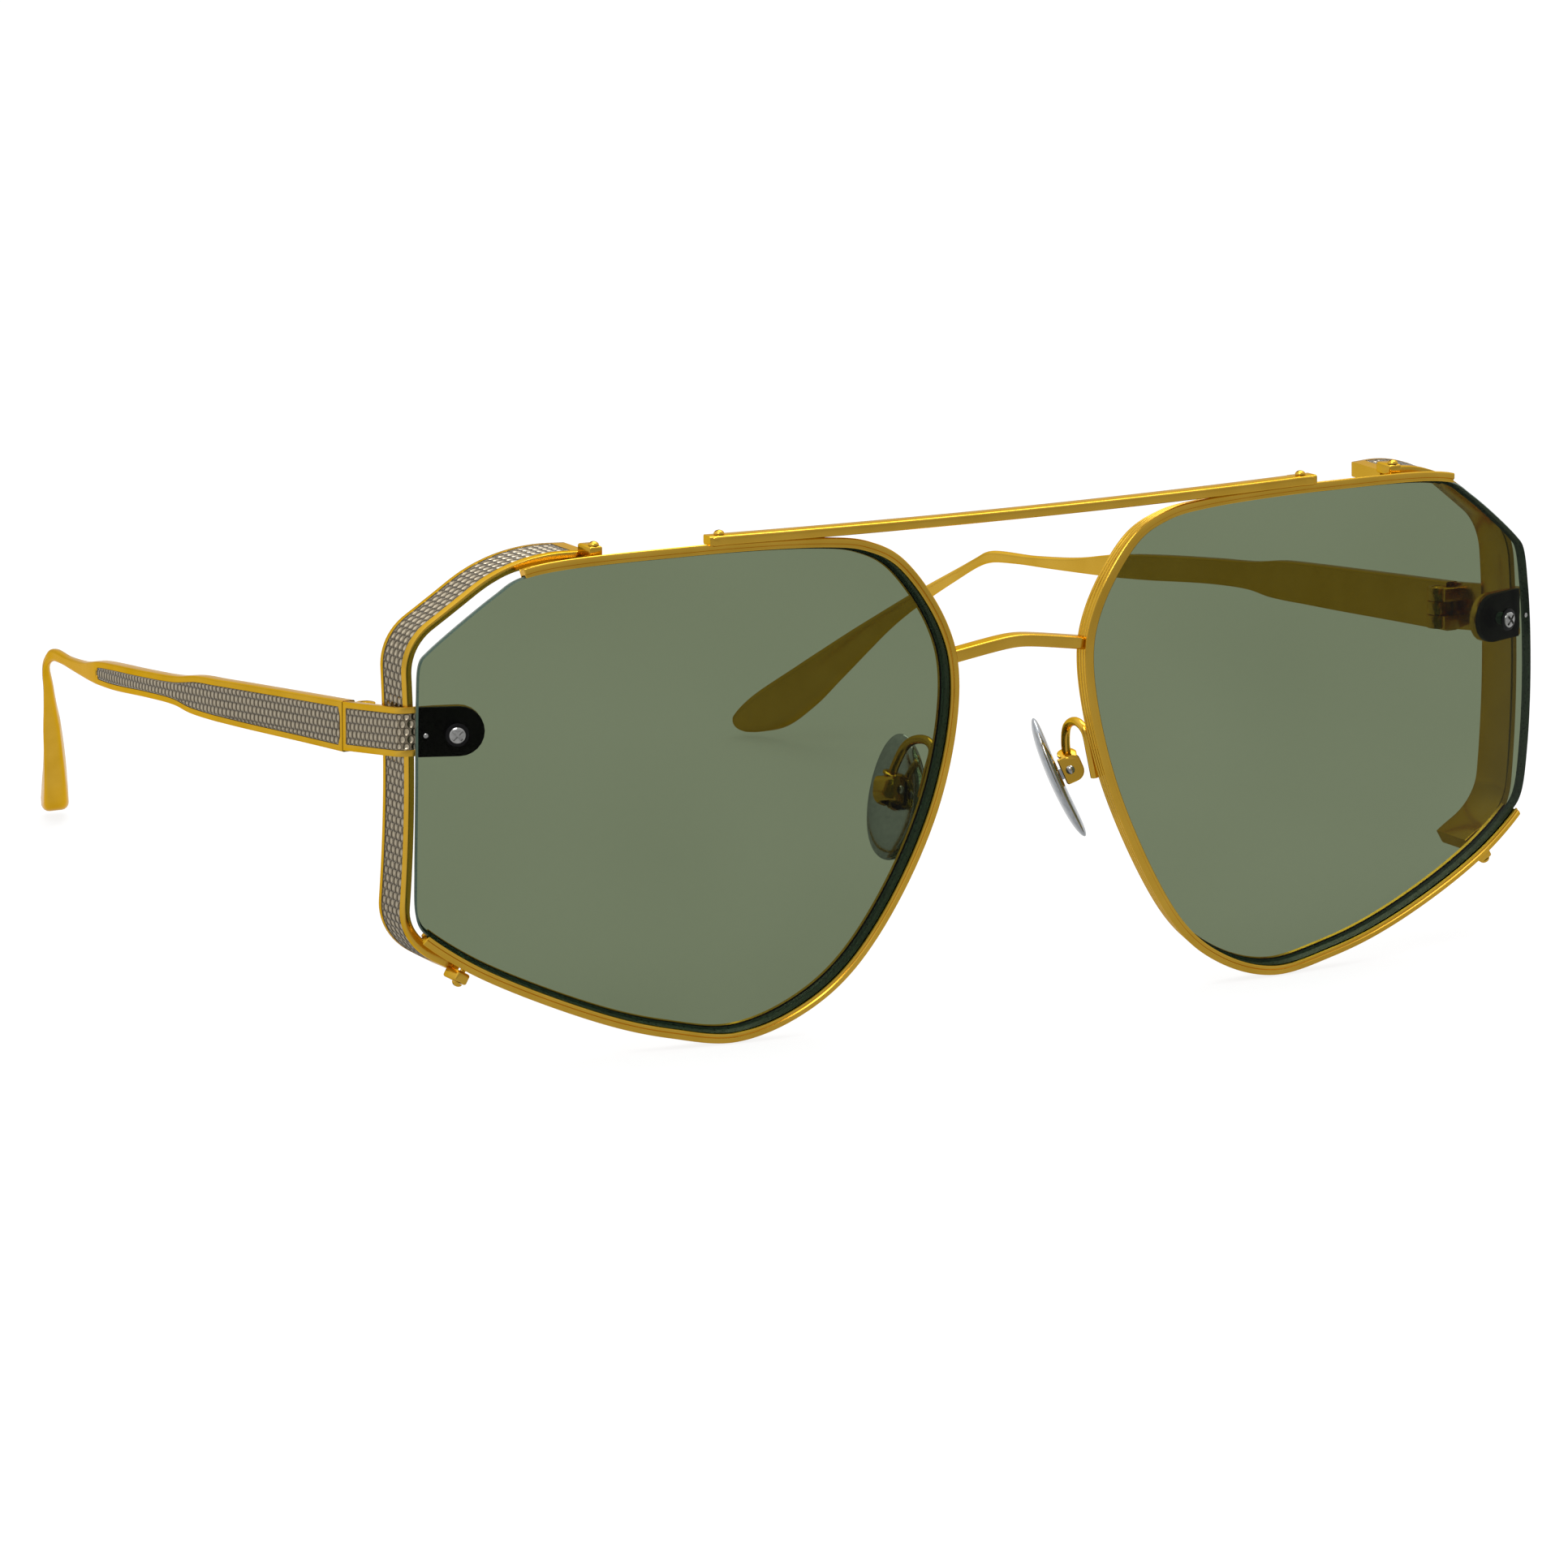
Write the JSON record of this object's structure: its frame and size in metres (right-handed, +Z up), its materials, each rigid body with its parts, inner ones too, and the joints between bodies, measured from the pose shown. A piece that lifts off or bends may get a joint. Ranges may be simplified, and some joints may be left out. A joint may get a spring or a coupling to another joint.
{
  "type": "aviator sunglasses",
  "caption": "Half-rim aviator sunglasses with a brow bar, wrap-round side shields, green curved lenses, folding temples with inlaid sides and rocking nose pads.",
  "frame": {"origin": "middle of the footprint on the floor, with the sunglasses standing on the lens bottoms and the temple tips", "axes": "+X to the wearer's left, +Y to the back along the open temples, +Z up"},
  "size_m": [0.1432, 0.151, 0.058],
  "materials": {
    "gold": "polished yellow gold plate",
    "silver": "dimpled warm silver",
    "glass": "grey-green tinted",
    "black": "matt black",
    "steel": "polished steel",
    "titanium": "satin titanium"
  },
  "bodies": {
    "front": {"brow_bar": "gold", "bridge": "gold", "rim_left": "gold", "rim_right": "gold", "endpiece_left": "gold", "endpiece_right": "gold", "lens_nut_left": "gold", "lens_nut_right": "gold", "side_shield_left": "gold", "side_shield_right": "gold", "shield_screw_top_left": "gold", "shield_screw_top_right": "gold", "shield_screw_low_left": "gold", "shield_screw_low_right": "gold", "brow_screw_left": "gold", "brow_screw_right": "gold", "hinge_screw_left": "gold", "hinge_screw_right": "gold", "pad_arm_left": "gold", "pad_arm_right": "gold", "endpiece_inlay_left": "silver", "endpiece_inlay_right": "silver", "shield_inlay_upper_left": "silver", "shield_inlay_upper_right": "silver", "shield_inlay_lower_left": "silver", "shield_inlay_lower_right": "silver", "lens_left": "glass", "lens_right": "glass", "lens_tab_left": "black", "lens_tab_right": "black", "lens_screw_left": "steel", "lens_screw_right": "steel", "pad_screw_left": "steel", "pad_screw_right": "steel"},
    "temple_left": {"temple_left": "gold", "temple_inlay_left": "silver"},
    "temple_right": {"temple_right": "gold", "temple_inlay_right": "silver"},
    "nose_pad_left": {"nose_pad_left": "titanium"},
    "nose_pad_right": {"nose_pad_right": "titanium"}
  },
  "joints": [
    {"name": "temple_left_fold", "type": "hinge", "parent": "front", "child": "temple_left", "pos_m": [0.06875, -0.04963, 0.03516], "axis": [0, 0, 1], "range_deg": [0, 84]},
    {"name": "temple_right_fold", "type": "hinge", "parent": "front", "child": "temple_right", "pos_m": [-0.06875, -0.04963, 0.03516], "axis": [0, 0, -1], "range_deg": [0, 78]},
    {"name": "nose_pad_left_rock", "type": "hinge", "parent": "front", "child": "nose_pad_left", "pos_m": [0.0116, -0.0646, 0.02463], "axis": [0.4684, 0.8643, -0.1834], "range_deg": [-7, 7]},
    {"name": "nose_pad_right_rock", "type": "hinge", "parent": "front", "child": "nose_pad_right", "pos_m": [-0.0116, -0.0646, 0.02463], "axis": [0.4684, -0.8643, 0.1834], "range_deg": [-7, 7]}
  ]
}
